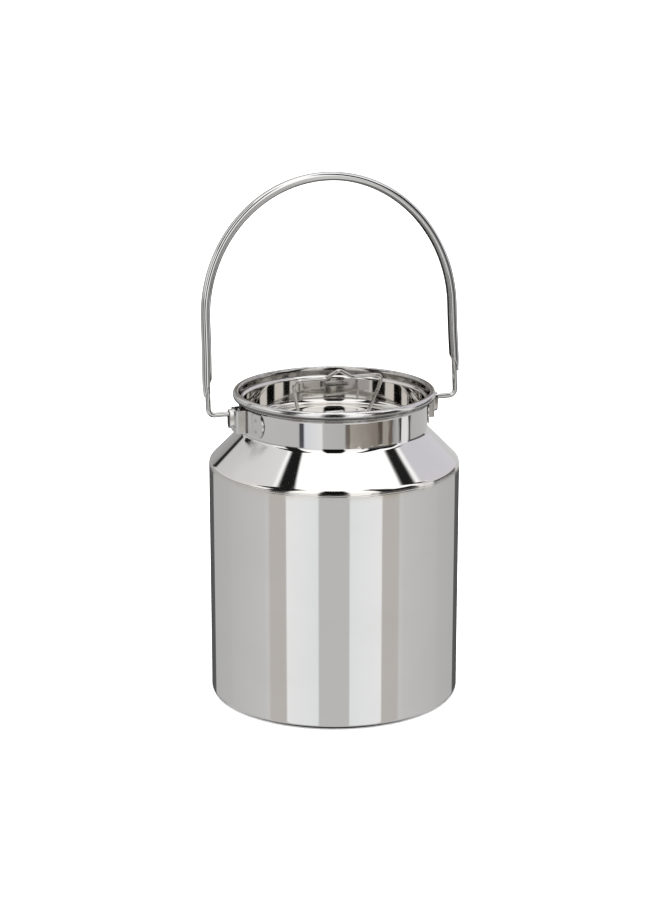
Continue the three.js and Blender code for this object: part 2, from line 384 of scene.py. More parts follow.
def placed(vertices, height, lean):
    """Vertices drawn upright about a pivot on the X axis, leaned and lifted to their place."""
    matrix = Matrix.Translation((0, 0, height)) @ Matrix.Rotation(math.radians(lean), 4, "X")
    return [matrix @ Vector(v) for v in vertices]


def round_wire(wire, radius, ends, spacing):
    """The skin of a wire. ends gives (distance, radius) pairs that shape both of its ends."""
    first = ends[-1][0]
    count = int((wire.length / 2 - first) / spacing)
    half = ends + [(first + spacing * k, radius) for k in range(1, count)]
    stations = half + [(wire.length - s, r) for s, r in half[::-1]]
    rings, lay = [], []
    for s, r in stations:
        position, outward = wire.at(s)
        for k in range(WIRE_SIDES):
            angle = 2 * math.pi * k / WIRE_SIDES
            lay.append((s, r * math.cos(angle), r * math.sin(angle)))
        rings.append([position + outward * a + Y_AXIS * b for _, a, b in lay[-WIRE_SIDES:]])
    vertices, faces = lofted(rings, [list(range(WIRE_SIDES))])
    return vertices, faces, lay


# ---- Node trees ------------------------------------------------------------------------


class Graph:
    """Short names for adding nodes to a tree and linking them."""

    def __init__(self, tree):
        self.tree = tree
        tree.nodes.clear()

    def node(self, kind, inputs=(), **settings):
        made = self.tree.nodes.new(kind)
        for name, value in settings.items():
            setattr(made, name, value)
        for key, value in dict(inputs).items():
            socket = made.inputs[key]
            if isinstance(value, bpy.types.NodeSocket):
                self.tree.links.new(value, socket)
            else:
                socket.default_value = value
        return made

    def math(self, operation, *values, clamp=False):
        made = self.node("ShaderNodeMath", enumerate(values), operation=operation, use_clamp=clamp)
        return made.outputs[0]

    def product(self, first, *others):
        for other in others:
            first = self.math("MULTIPLY", first, other)
        return first

    def length(self, a, b):
        """The length of the vector (a, b)."""
        return self.math("SQRT", self.math("ADD", self.product(a, a), self.product(b, b)))

    def separate(self, vector):
        return self.node("ShaderNodeSeparateXYZ", {"Vector": vector}).outputs

    def combine(self, x, y, z):
        return self.node("ShaderNodeCombineXYZ", {"X": x, "Y": y, "Z": z}).outputs[0]

    def step(self, value, start, end):
        """0 below start and 1 above end, and smooth between them."""
        made = self.node(
            "ShaderNodeMapRange",
            {"Value": value, "From Min": start, "From Max": end},
            interpolation_type="SMOOTHSTEP",
        )
        return made.outputs[0]

    def inverse(self, share):
        return self.math("SUBTRACT", 1.0, share)

    def rise(self, value, start, end):
        """0 below start and 1 above end, which are in millimetres."""
        return self.step(value, start * MM, end * MM)

    def fall(self, value, start, end):
        """1 below start and 0 above end, which are in millimetres."""
        return self.inverse(self.rise(value, start, end))

    def mix(self, share, a, b):
        made = self.node("ShaderNodeMix", {"Factor": share}, data_type="RGBA")
        for socket, value in zip((made.inputs[6], made.inputs[7]), (a, b)):
            if isinstance(value, bpy.types.NodeSocket):
                self.tree.links.new(value, socket)
            else:
                socket.default_value = (*value, 1)
        return made.outputs[2]

    def noise(self, vector, scale, detail=2.0, roughness=0.5):
        """Noise about 0, from about -1 to 1."""
        inputs = {"Vector": vector, "Scale": scale, "Detail": detail, "Roughness": roughness}
        made = self.node("ShaderNodeTexNoise", inputs)
        return self.math("MULTIPLY_ADD", made.outputs[0], 2.0, -1.0)

    def ramp(self, share, stops):
        made = self.node("ShaderNodeValToRGB", {"Fac": share})
        elements = made.color_ramp.elements
        for i, (position, colour) in enumerate(stops):
            element = elements[i] if i < 2 else elements.new(position)
            element.position = position
            element.color = (*colour, 1)
        return made.outputs[0]


# ---- Studio ----------------------------------------------------------------------------

CAMERA_AZIMUTH = -19.3  # from the front of the can, towards its left
CAMERA_REACH = 1342
CAMERA_HEIGHT = 526.1
AIM_HEIGHT = 159
AIM_SIDE = 2.65  # the can stands this far right of the picture's middle
SENSOR = 36
LENS = 87.12

STEEL_LEVEL = 0.78  # what polished steel gives back of the light that falls on it
FLOOR_LIGHT = 2.4
BACKDROP = 1.0
FLOOR_REACH = 30  # metres
FLOOR_TONES = ((0.84,) * 3, (0.86,) * 3)

# The studio's upright panels, which stay put when the camera moves. Each row is the azimuth where a panel
# ends, its level, and its level at that end if it changes. Azimuths are in degrees from CAMERA_AZIMUTH,
# both ways for the floor's panels and from the far side all the way round for the others.
FLOOR_PANELS = [
    (14, 181), (44.4, (217, 220, 221), (226, 226, 227)), (61.5, (179, 175, 171)), (66, 190),
    (110, 187, 178), (147, 176, 168), (176, 84, 70), (180, 190),
]
NECK_PANELS = [
    (-147, 84, 78), (-130, 155, 183), (-43, 182, 178), (-37, (70, 70, 76)), (-14, (206, 208, 214), 220),
    (14, 176, 172), (19, (105, 98, 92)), (55, (155, 149, 141), (122, 115, 107)), (62, (82, 75, 68)),
    (70, (150, 145, 138)), (76, (100, 92, 84)), (86, 140, 178), (90.5, 34), (103, 220), (108, 80),
    (180, 172, 180),
]
LEVEL_PANELS = [
    (-174, 150), (-138, 152, 160), (-60, 165, 150), (-44, 60), (-14, 190, 215), (12, 20), (33, 245),
    (36.5, 90, 130), (40.5, 190, 205), (82, 90, 60), (100, 225), (142, 70, 95), (176, 185, 195),
    (180, 150),
]
MIDDLE_PANELS = [
    (-163, (112, 106, 99)), (-149, 150), (-144, 35), (-80, 192, 215), (-62, 240), (-42, 25), (-14, 250),
    (14, 12), (42, 250), (80, 25), (88, 240), (163, (198, 196, 202)), (180, (112, 106, 99)),
]
ABOVE_PANELS = [
    (-140, 190), (-87.5, 200, 214), (-84, 250), (-42, 26), (-14, 262), (14, 18), (42, 262), (61, 24),
    (93, 262), (105.5, 30), (109.5, 245), (180, (198, 196, 202)),
]
UNDERFOOT = (40, 190)  # levels straight down and where the floor's panels begin
OVERHEAD = 262


def camera_axes():
    """Unit vectors from the can towards the camera, and towards the camera's right, on the ground."""
    a = math.radians(CAMERA_AZIMUTH)
    towards = Vector((math.sin(a), -math.cos(a), 0))
    return towards, Vector((-towards.y, towards.x, 0))


def add_camera():
    towards, right = camera_axes()
    data = bpy.data.cameras.new("camera")
    data.sensor_width = SENSOR
    data.lens = LENS
    data.clip_start = 0.01
    camera = add_object("camera", data)
    camera.location = (towards * CAMERA_REACH + Vector((0, 0, CAMERA_HEIGHT))) * MM
    aim = (Vector((0, 0, AIM_HEIGHT)) - right * AIM_SIDE) * MM
    camera.rotation_euler = (aim - camera.location).to_track_quat("-Z", "Y").to_euler()
    bpy.context.scene.camera = camera


def linear(value):
    """The linear share of full light that an sRGB value from 0 to 255 stands for."""
    return ((value / 255 + 0.055) / 1.055) ** 2.4


def light(level):
    """The light of a panel that steel shows at a level, a grey or a colour in sRGB values."""
    colour = level if isinstance(level, tuple) else (level,) * 3
    return tuple(linear(c) / STEEL_LEVEL for c in colour)


def panels(graph, azimuth, soft, first, rows):
    """Upright panels round the can from the azimuth first on, with edges soft degrees wide."""
    span = rows[-1][0] - first
    stops, start = [], first
    for end, level, *changed in rows:
        last = changed[0] if changed else level
        inset = min(soft, (end - start) / 3)
        stops.append(((start + inset - first) / span, light(level)))
        stops.append(((end - inset - first) / span, light(last)))
        start = end
    return graph.ramp(graph.math("DIVIDE", graph.math("SUBTRACT", azimuth, first), span), stops)


def studio_light(graph):
    """What polished steel reflects: soft panels with dark gaps between them, from floor to overhead."""
    towards, right = camera_axes()
    ray = graph.node("ShaderNodeTexCoord").outputs["Generated"]

    def part(axis):
        made = graph.node("ShaderNodeVectorMath", {0: ray, 1: axis}, operation="DOT_PRODUCT")
        return made.outputs["Value"]

    azimuth = graph.math("DEGREES", graph.math("ARCTAN2", part(right), part(towards)))
    elevation = graph.math("DEGREES", graph.math("ARCSINE", part(Vector((0, 0, 1)))))
    turned_away = graph.math("ABSOLUTE", azimuth)
    bands = (  # the elevations between which each one fades in over the one below it
        (-40, -30, panels(graph, turned_away, 0.6, 0, FLOOR_PANELS)),
        (-15.7, -15.4, panels(graph, azimuth, 0.8, -180, NECK_PANELS)),
        (-11.5, -10.5, panels(graph, azimuth, 0.8, -180, LEVEL_PANELS)),
        (5, 8, panels(graph, azimuth, 0.8, -180, MIDDLE_PANELS)),
        (29, 35, panels(graph, azimuth, 1.6, -180, ABOVE_PANELS)),
        (64.5, 66, light(OVERHEAD)),
    )
    shown = graph.mix(graph.step(elevation, -75, -35), *map(light, UNDERFOOT))
    for start, end, colour in bands:
        shown = graph.mix(graph.step(elevation, start, end), shown, colour)
    return shown


def add_world():
    world = bpy.data.worlds.new("studio")
    world.use_nodes = True
    world.cycles.sampling_method = "NONE"
    graph = Graph(world.node_tree)
    path = graph.node("ShaderNodeLightPath").outputs
    colour = graph.mix(path["Is Glossy Ray"], (FLOOR_LIGHT,) * 3, studio_light(graph))
    colour = graph.mix(path["Is Camera Ray"], colour, (BACKDROP,) * 3)
    background = graph.node("ShaderNodeBackground", {"Color": colour})
    graph.node("ShaderNodeOutputWorld", {"Surface": background.outputs[0]})
    bpy.context.scene.world = world


def add_floor():
    """A plain pale floor. Steel mirrors the studio's panels in its place."""
    material = bpy.data.materials.new("floor_paint")
    material.use_nodes = True
    graph = Graph(material.node_tree)
    patches = graph.step(graph.noise(place_on(graph), 6.0, detail=3.0), -0.5, 0.5)
    shade = graph.mix(patches, *FLOOR_TONES)
    surface = graph.node("ShaderNodeBsdfDiffuse", {"Color": shade})
    graph.node("ShaderNodeOutputMaterial", {"Surface": surface.outputs[0]})
    reach = FLOOR_REACH
    mesh = bpy.data.meshes.new("floor")
    corners = [(-reach, -reach), (reach, -reach), (reach, reach), (-reach, reach)]
    mesh.from_pydata([(x, y, -INSIDE * MM) for x, y in corners], [], [[0, 1, 2, 3]])
    mesh.materials.append(material)
    floor = add_object("floor", mesh)
    floor.visible_glossy = False


# ---- Steel -----------------------------------------------------------------------------

LINE_STRETCH = 30.0  # how much finer the polishing lines are across than along
SMUDGES = {"scale": 24.0, "share": 0.6, "tone": 0.965}
LINE_TONE = 0.94
NECK_STREAKS = {"start": (-15, -9), "end": (38, 60), "stretch": 0.15, "scale": 200.0}
CONE_PATCH = {"near": (7, 11), "far": (26, 36), "out": (50, 57), "low": (157, 164)}


class Mark(NamedTuple):
    """A change in the steel's look, of which share(graph) is how much shows at each place."""

    share: Callable
    tint: tuple  # what the colour is multiplied by
    rougher: float  # what is added to the roughness
    height: float = 0  # of its relief, in metres


def place_on(graph):
    """The place on the surface."""
    return graph.node("ShaderNodeTexCoord").outputs["Object"]


def place_parts(graph):
    """The x, y and z of the place on the surface."""
    return graph.separate(place_on(graph))[:3]


def strip_place(graph):
    """The place on a wire or folded strip, as (along it, outwards, sideways)."""
    return graph.node("ShaderNodeAttribute", attribute_name="lay").outputs["Vector"]


def turned_lay(graph):
    """Coordinates whose third runs across the polishing lines of a turned wall, floor or cone."""
    x, y, z = place_parts(graph)
    across = graph.math("SUBTRACT", z, graph.length(x, y))
    return graph.combine(x, y, graph.product(across, LINE_STRETCH))


def drawn_lay(graph):
    """Coordinates whose first runs along a drawn wire or folded strip."""
    along, outward, sideways = graph.separate(strip_place(graph))[:3]
    return graph.combine(along, graph.product(outward, LINE_STRETCH), graph.product(sideways, LINE_STRETCH))


def steel(name, lay, colour, gloss, lines, wave, marks=()):
    """Polished steel, with gloss as its (least, most) roughness.

    lines are its polishing lines, and wave is the slight unevenness that forming leaves. Both are
    (noise scale, height in metres).
    """
    material = bpy.data.materials.new(name)
    material.use_nodes = True
    graph = Graph(material.node_tree)
    place = place_on(graph)
    line = graph.noise(lay(graph), lines[0], detail=4.0, roughness=0.65)
    smudge = graph.step(graph.noise(place, SMUDGES["scale"], detail=4.0, roughness=0.6), -0.25, 0.6)
    ripple = graph.noise(place, wave[0], detail=1.0)

    smear = graph.math(
        "ADD", graph.product(smudge, SMUDGES["share"]), graph.product(line, 1 - SMUDGES["share"]), clamp=True
    )
    roughness = graph.math("MULTIPLY_ADD", smear, gloss[1] - gloss[0], gloss[0])
    tone = graph.mix(smudge, colour, tuple(c * SMUDGES["tone"] for c in colour))
    tone = graph.mix(graph.step(line, 0.1, 0.9), tone, tuple(c * LINE_TONE for c in colour))
    relief = graph.math("MULTIPLY_ADD", line, lines[1], graph.product(ripple, wave[1]))
    for mark in marks:
        amount = mark.share(graph)
        tone = graph.mix(amount, tone, tuple(c * t for c, t in zip(colour, mark.tint)))
        roughness = graph.math("MULTIPLY_ADD", amount, mark.rougher, roughness)
        if mark.height:
            relief = graph.math("MULTIPLY_ADD", amount, mark.height, relief)
    bump = graph.node("ShaderNodeBump", {"Height": relief, "Strength": 1.0, "Distance": 1.0})
    surface = graph.node(
        "ShaderNodeBsdfPrincipled",
        {"Base Color": tone, "Metallic": 1.0, "Roughness": roughness, "Normal": bump.outputs[0]},
    )
    graph.node("ShaderNodeOutputMaterial", {"Surface": surface.outputs[0]})
    return material


def near(height, reach):
    """A ragged band round the can at a height, in millimetres, fading to none at reach from it."""

    def share(graph):
        place = place_on(graph)
        away = graph.math("ABSOLUTE", graph.math("SUBTRACT", graph.separate(place)[2], height * MM))
        away = graph.math("MULTIPLY_ADD", graph.noise(place, 90.0, detail=3.0), reach * MM * 0.35, away)
        return graph.fall(away, 0, reach)

    return share


def scuffed(height, reach):
    """Fine scuffs in such a band."""

    def share(graph):
        scuffs = graph.step(graph.noise(place_on(graph), 400.0, detail=5.0), -0.3, 0.5)
        return graph.product(near(height, reach)(graph), scuffs)

    return share


def neck_streaks(graph):
    """Uneven upright streaks on the right front of the neck."""
    x, y, z = place_parts(graph)
    stretched = graph.combine(x, y, graph.product(z, NECK_STREAKS["stretch"]))
    streaks = graph.noise(stretched, NECK_STREAKS["scale"])
    angle = graph.math("DEGREES", graph.math("ARCTAN2", x, graph.product(y, -1.0)))
    ended = graph.step(angle, *NECK_STREAKS["end"])
    around = graph.product(graph.step(angle, *NECK_STREAKS["start"]), graph.inverse(ended))
    return graph.product(around, graph.rise(z, NECK_BOTTOM + 1, NECK_BOTTOM + 3), streaks)


def cone_patches(graph):
    """The cone to both sides of each ear, dulled so that it mirrors the ear and the bail less sharply."""
    x, y, z = place_parts(graph)
    side = graph.math("ABSOLUTE", y)
    side = graph.product(graph.rise(side, *CONE_PATCH["near"]), graph.fall(side, *CONE_PATCH["far"]))
    out = graph.rise(graph.math("ABSOLUTE", x), *CONE_PATCH["out"])
    below_neck = graph.fall(z, NECK_BOTTOM, NECK_BOTTOM + 1)
    return graph.product(side, out, below_neck, graph.rise(z, *CONE_PATCH["low"]))


def whole_rim(graph):
    """All of the rolled rim."""
    bottom = RIM_TOP - RIM_HEIGHT
    return graph.rise(place_parts(graph)[2], bottom, bottom + 1)


def rim_inside_shade(graph):
    """The rim's inner side and the flare under it, darkened to half as painted shade."""
    x, y, z = place_parts(graph)
    middle = RIM_RADIUS - RIM_WIDTH / 2
    inner = graph.fall(graph.length(x, y), middle - 1.1, middle - 0.3)
    return graph.product(inner, graph.rise(z, FLARE_BOTTOM, FLARE_BOTTOM + 1))


def rim_turn_shade(graph):
    """Where the rim's curl turns under: a dark line of painted shade."""
    x, y, z = place_parts(graph)
    outer = graph.rise(graph.length(x, y), RIM_RADIUS - 1, RIM_RADIUS - 0.6)
    turn = RIM_TOP - RIM_HEIGHT * 0.62
    return graph.product(outer, graph.fall(z, turn, turn + 0.7), whole_rim(graph))


def weld_spots(graph):
    """The four marks that a spot welder leaves on the feet of each ear."""
    _, y, z = place_parts(graph)
    across = graph.math("SUBTRACT", graph.math("ABSOLUTE", y), WELD_SPOT["side"] * MM)
    up = graph.math("ABSOLUTE", graph.math("SUBTRACT", z, (EAR_BOTTOM + EAR_TOP) / 2 * MM))
    up = graph.math("SUBTRACT", up, WELD_SPOT["apart"] / 2 * MM)
    return graph.fall(graph.length(across, up), WELD_SPOT["core"], WELD_SPOT["radius"])


def slot_wall_shade(graph):
    """The inside of each ear's slot, rougher as unpolished steel and darkened as painted shade."""
    x, y, z = place_parts(graph)
    radius = EAR_SLOT["width"] / 2
    half = EAR_SLOT["height"] / 2
    up = graph.math("ABSOLUTE", graph.math("SUBTRACT", z, (EAR_SLOT["top"] - half) * MM))
    up = graph.math("MAXIMUM", graph.math("SUBTRACT", up, (half - radius) * MM), 0.0)
    inside = graph.fall(graph.length(y, up), radius + 0.15, radius + 0.4)
    face = EAR_BOX["face"]
    return graph.product(inside, graph.rise(graph.math("ABSOLUTE", x), face - 2.8, face - 1.8))


def ear_root_shade(graph):
    """The corners where each ear's box stands up from its feet, darkened as painted shade."""
    x, y, _ = place_parts(graph)
    corner = graph.math("SUBTRACT", graph.math("ABSOLUTE", y), EAR_BOX["width"] / 2 * MM)
    corner = graph.fall(graph.math("ABSOLUTE", corner), 0.35, 1.3)
    foot_face = NECK_RADIUS + EAR_GAP + SHEET
    return graph.product(corner, graph.fall(graph.math("ABSOLUTE", x), foot_face, foot_face + 1))


def channel_lip_shade(graph):
    """The grip's two turned edges, which face the wire, darkened as painted shade in the gap."""
    place = strip_place(graph)
    uneven = graph.noise(place, 160.0)
    outward = graph.math("MULTIPLY_ADD", uneven, 0.2 * MM, graph.separate(place)[1])
    return graph.fall(outward, -1.6, -1.0)


SCUFF_TINT = (0.8, 0.8, 0.8)
HEAT_MARK = Mark(near(SEAM_HEIGHT, 5), (0.99, 0.965, 0.92), rougher=0.08)

POT_STEEL = steel(
    "polished_pot_steel",
    turned_lay,
    colour=(0.79, 0.782, 0.772),
    gloss=(0.03, 0.075),
    lines=(60.0, 2.5e-8),
    wave=(26.0, 1.1e-5),
    marks=[Mark(scuffed(0, 4), SCUFF_TINT, rougher=0.22), HEAT_MARK],
)
SHOULDER_STEEL = steel(
    "polished_shoulder_steel",
    turned_lay,
    colour=(0.79, 0.78, 0.768),
    gloss=(0.03, 0.075),
    lines=(60.0, 2.5e-8),
    wave=(55.0, 1.2e-5),
    marks=[
        Mark(whole_rim, (0.95, 0.95, 0.95), rougher=0.13),
        # painted shade: the rim's inner side and the flare under it, darkened to half
        Mark(rim_inside_shade, (0.5, 0.485, 0.465), rougher=-0.06),
        # painted shade: a dark line where the rim's curl turns under
        Mark(rim_turn_shade, (0.25, 0.245, 0.24), rougher=0.1),
        Mark(scuffed(RIM_TOP, 2.5), SCUFF_TINT, rougher=0.1),
        HEAT_MARK,
        Mark(neck_streaks, (0.97, 0.965, 0.955), rougher=0.02, height=4.5e-5),
        Mark(cone_patches, (0.98, 0.98, 0.98), rougher=0.2),
    ],
)
LID_STEEL = steel(
    "polished_lid_steel",
    turned_lay,
    colour=(0.74, 0.722, 0.698),
    gloss=(0.04, 0.08),
    lines=(70.0, 2.5e-8),
    wave=(60.0, 1.0e-5),
    marks=[Mark(scuffed(LID_TOP + 0.5, 1.2), SCUFF_TINT, rougher=0.22)],
)
STRIP_STEEL = steel(
    "pressed_strip_steel",
    turned_lay,
    colour=(0.72, 0.712, 0.695),
    gloss=(0.12, 0.24),
    lines=(80.0, 1.5e-7),
    wave=(140.0, 9e-6),
    marks=[
        Mark(scuffed(EAR_TOP, 1.0), SCUFF_TINT, rougher=0.22),
        Mark(weld_spots, (0.85, 0.84, 0.82), rougher=0.05, height=-1.5e-4),
        # painted shade inside each ear's slot; the added roughness stands for unpolished steel
        Mark(slot_wall_shade, (0.2, 0.19, 0.18), rougher=0.3),
        # painted shade in the corners where each ear's box stands up from its feet
        Mark(ear_root_shade, (0.3, 0.29, 0.28), rougher=0.2),
    ],
)
WELD_STEEL = steel(
    "weld_steel",
    turned_lay,
    colour=(0.78, 0.765, 0.745),
    gloss=(0.08, 0.2),
    lines=(300.0, 4e-7),
    wave=(400.0, 2e-6),
)
WIRE_STEEL = steel(
    "drawn_wire_steel",
    drawn_lay,
    colour=(0.7, 0.695, 0.685),
    gloss=(0.06, 0.14),
    lines=(110.0, 1.5e-7),
    wave=(120.0, 3e-6),
)
GRIP_STEEL = steel(
    "folded_grip_steel",
    drawn_lay,
    colour=(0.74, 0.735, 0.728),
    gloss=(0.04, 0.1),
    lines=(90.0, 1e-7),
    wave=(90.0, 1.0e-5),
    # painted shade on the grip's turned edges, in the gap against the wire
    marks=[Mark(channel_lip_shade, (0.38, 0.375, 0.37), rougher=0.12)],
)
RING_STEEL = steel(
    "ring_wire_steel",
    drawn_lay,
    colour=(0.66, 0.645, 0.62),
    gloss=(0.05, 0.12),
    lines=(120.0, 1.5e-7),
    wave=(150.0, 2.5e-6),
)

# ---- The can ---------------------------------------------------------------------------


def add_pot():
    wall = POT_RADIUS - SHEET / 2
    foot = SHEET / 2
    panel = foot + BASE_PANEL["rise"]
    inner, bend = BASE_PANEL["radius"], BASE_PANEL["bend"]
    middle = rounded(
        (0, panel),
        (inner, panel, bend),
        (inner + BASE_PANEL["slope"], foot, bend),
        (wall, foot, POT_BEND),
        (wall, POT_TOP),
    )
    outline, _ = sheet_outline(middle, SHEET, round_start=False)
    piece("pot_shell", *turned(outline), "can", "can_body", "polished_pot", POT_STEEL)


def add_shoulder():
    wall = POT_RADIUS - SHEET / 2
    neck = NECK_RADIUS - SHEET / 2
    half_width, half_height = (RIM_WIDTH - SHEET) / 2, (RIM_HEIGHT - SHEET) / 2
    rim = (RIM_RADIUS - RIM_WIDTH / 2, RIM_TOP - RIM_HEIGHT / 2)
    inner = rim[0] - half_width
    middle = rounded(
        (wall, SHOULDER_BOTTOM),
        (wall, SHOULDER_BEND_HEIGHT, SHOULDER_BEND),
        (neck, NECK_BOTTOM, NECK_BEND),
        (neck, FLARE_BOTTOM, FLARE_BEND),
        (inner, FLARE_BOTTOM + inner - neck, FLARE_BEND),
        (inner, rim[1]),
    )
    middle += arc(rim, (half_width, half_height), 180, RIM_CURL_END, ARC_STEP / 1.5)[1:]
    outline, _ = sheet_outline(middle, SHEET)
    piece("shoulder_shell", *turned(outline), "can", "shoulder_neck", "polished_shoulder", SHOULDER_STEEL)


def add_weld():
    """The bead that joins the pot and the shoulder, ground nearly flush."""
    rings = []
    for k in range(WELD_STEPS):
        angle = 2 * math.pi * k / WELD_STEPS
        spot = Vector((math.cos(angle), math.sin(angle), 0))
        swell = noise.noise(spot * WELD_RIPPLES["height"])
        height = WELD["height"] * (1 + WELD_UNEVEN["height"] * swell)
        wander = noise.noise(spot * WELD_RIPPLES["wander"] + Vector((9, 0, 0)))
        middle = (POT_TOP + SHOULDER_BOTTOM) / 2 + WELD["wander"] * wander
        bulge = noise.noise(spot * WELD_RIPPLES["proud"] + Vector((0, 5, 0)))
        proud = WELD["proud"] * (1 + WELD_UNEVEN["proud"] * bulge)
        ring = []
        for m in range(WELD_SIDES):
            turn = 2 * math.pi * m / WELD_SIDES
            reach = POT_RADIUS + proud - WELD["depth"] * (1 - math.cos(turn))
            ring.append((reach * math.cos(angle), reach * math.sin(angle), middle + height * math.sin(turn)))
        rings.append(ring)
    vertices, faces = lofted(rings, [])
    last = (WELD_STEPS - 1) * WELD_SIDES
    for k in range(WELD_SIDES):
        m = (k + 1) % WELD_SIDES
        faces.append([last + k, last + m, m, k])
    piece("shoulder_weld", vertices, faces, "can", None, "polished_shoulder", WELD_STEEL)


# ---- The ears --------------------------------------------------------------------------


def obround(width, height, top):
    """A slot's outline in (y, z), with round ends."""
    radius = width / 2
    upper = arc((0, top - radius), (radius, radius), 0, 180, ARC_STEP * 1.5)
    lower = arc((0, top - height + radius), (radius, radius), 180, 360, ARC_STEP * 1.5)
    return upper + lower


def along_x(stations):
    """A closed mesh through outlines in (y, z), given as (x, outline) pairs."""
    rings = [[(x, p.x, p.y) for p in outline] for x, outline in stations]
    return lofted(rings, [list(range(len(rings[0])))])


def scratch(vertices, faces):
    """A mesh object that only takes part in cuts and joins."""
    return add_object("scratch", outward_mesh("scratch", vertices, faces))


def combined(base, steps):
    """base after each (operation, tool), as vertices and faces. The objects are used up."""
    for operation, tool in steps:
        modifier = base.modifiers.new("step", "BOOLEAN")
        modifier.operation = operation
        modifier.object = tool
        modifier.solver = "EXACT"
    evaluated = base.evaluated_get(bpy.context.evaluated_depsgraph_get())
    mesh = bpy.data.meshes.new_from_object(evaluated)
    vertices = [v.co.copy() for v in mesh.vertices]
    faces = [list(p.vertices) for p in mesh.polygons]
    for used in [base] + [tool for _, tool in steps]:
        bpy.data.objects.remove(used)
    return vertices, faces


def ear_strip():
    """The bent strip, a little taller than the ear, before its ends and slot are cut."""
    foot = NECK_RADIUS + EAR_GAP + SHEET / 2
    face = EAR_BOX["face"] - SHEET / 2
    side = (EAR_BOX["width"] - SHEET) / 2
    bend, root_bend = EAR_BOX["bend"], EAR_BOX["root_bend"]
    root = math.degrees(math.asin(side / foot))
    start = root + EAR_ROOT_TURN
    end = EAR_END["angle"] + EAR_SPARE["turn"]
    away = arc((0, 0), (foot, foot), -end, -start, ARC_STEP / 3)
    back = arc((0, 0), (foot, foot), start, end, ARC_STEP / 3)
    at_root = foot * math.cos(math.radians(root))
    boxed = rounded(
        away[-1],
        (at_root, -side, root_bend),
        (face, -side, bend),
        (face, side, bend),
        (at_root, side, root_bend),
        back[0],
    )
    middle = away[:-1] + boxed + back[1:]
    outline, _ = sheet_outline(middle, SHEET)
    heights = (EAR_BOTTOM - EAR_SPARE["height"], EAR_TOP + EAR_SPARE["height"])
    rings = [[(p.x, p.y, z) for p in outline] for z in heights]
    return lofted(rings, sheet_cap(outline))


def ear_blank():
    """The strip's outline seen from outside: straight edges and shallow rounded ends."""
    middle = (EAR_BOTTOM + EAR_TOP) / 2
    radius = EAR_END["radius"]
    centre = NECK_RADIUS * math.sin(math.radians(EAR_END["angle"])) - radius
    swing = math.degrees(math.asin((EAR_TOP - EAR_BOTTOM) / 2 / radius))
    right = arc((centre, middle), (radius, radius), -swing, swing)
    left = arc((-centre, middle), (radius, radius), 180 - swing, 180 + swing)
    return right + left


def add_ear(name, node, turn):
    face, wall, flare = EAR_BOX["face"], EAR_SLOT["wall"], EAR_SLOT["flare"]
    end = face + EAR_SLOT["rise"]

    def slot(grow):
        """The slot's outline, grown all round."""
        width, height = EAR_SLOT["width"] + 2 * grow, EAR_SLOT["height"] + 2 * grow
        return obround(width, height, EAR_SLOT["top"] + grow)

    blank = ear_blank()
    collar = [(face - SHEET / 2, slot(wall))]
    collar += [(end + past, slot(wall + grow)) for past, grow in COLLAR_EDGE]
    hole = [(face - 2 * SHEET, slot(0))]
    hole += [(end + past, slot(flare * share)) for past, share in SLOT_MOUTH]
    strip = scratch(*ear_strip())
    steps = [
        ("INTERSECT", scratch(*along_x([(NECK_RADIUS / 2, blank), (face + EAR_SPARE["out"], blank)]))),
        ("UNION", scratch(*along_x(collar))),
        ("DIFFERENCE", scratch(*along_x(hole))),
    ]
    vertices, faces = combined(strip, steps)
    matrix = Matrix.Rotation(math.radians(turn), 4, "Z")
    ear = piece(name, [matrix @ v for v in vertices], faces, "can", node, "pressed_strip", STRIP_STEEL)
    bevel = ear.modifiers.new("edges", "BEVEL")
    bevel.width = EAR_EDGE["width"] * MM
    bevel.segments = EAR_EDGE["segments"]
    bevel.limit_method = "ANGLE"
    bevel.angle_limit = math.radians(EAR_EDGE["angle"])
    bevel.harden_normals = True


# ---- The bail --------------------------------------------------------------------------


def bail_line():
    """The bail's middle line in (x, height over the pivot), from the right end to the left."""
    pivot, bend, arch, foot, rise = (BAIL[k] for k in ("pivot", "bend", "arch", "arch_foot", "arch_rise"))
    right = rounded((BAIL["end"], 0), (pivot, 0, bend), (pivot, bend))
    right += bezier((pivot, bend), (pivot, foot / 2), (arch, foot / 2), (arch, foot), BAIL_STEPS)
    right += arc((0, foot), (arch, rise), 0, 90, math.radians(1))[1:]
    left = [Vector((-p.x, p.y)) for p in right[-2::-1]]
    return Wire(right + left)


def add_bail_wire(wire):
    """The wire, with the flat heads that keep its ends inside the ears."""
    radius, head = BAIL_WIRE / 2, BAIL_HEAD["radius"]
    thick = BAIL_HEAD["thickness"]
    ends = [
        (0.0, head * 0.8),
        (0.08, head * 0.93),
        (0.25, head),
        (thick - 0.25, head),
        (thick - 0.06, head * 0.92),
        (thick, head * 0.8),
        (thick + 0.06, radius * 1.1),
        (thick + 0.4, radius),
    ]
    vertices, faces, lay = round_wire(wire, radius, ends, WIRE_STEP["bail"])
    vertices = placed(vertices, BAIL_HEIGHT, BAIL_LEAN)
    piece("bail_rod", vertices, faces, "bail", "bail_wire", "bail_wire_steel", WIRE_STEEL, lay)


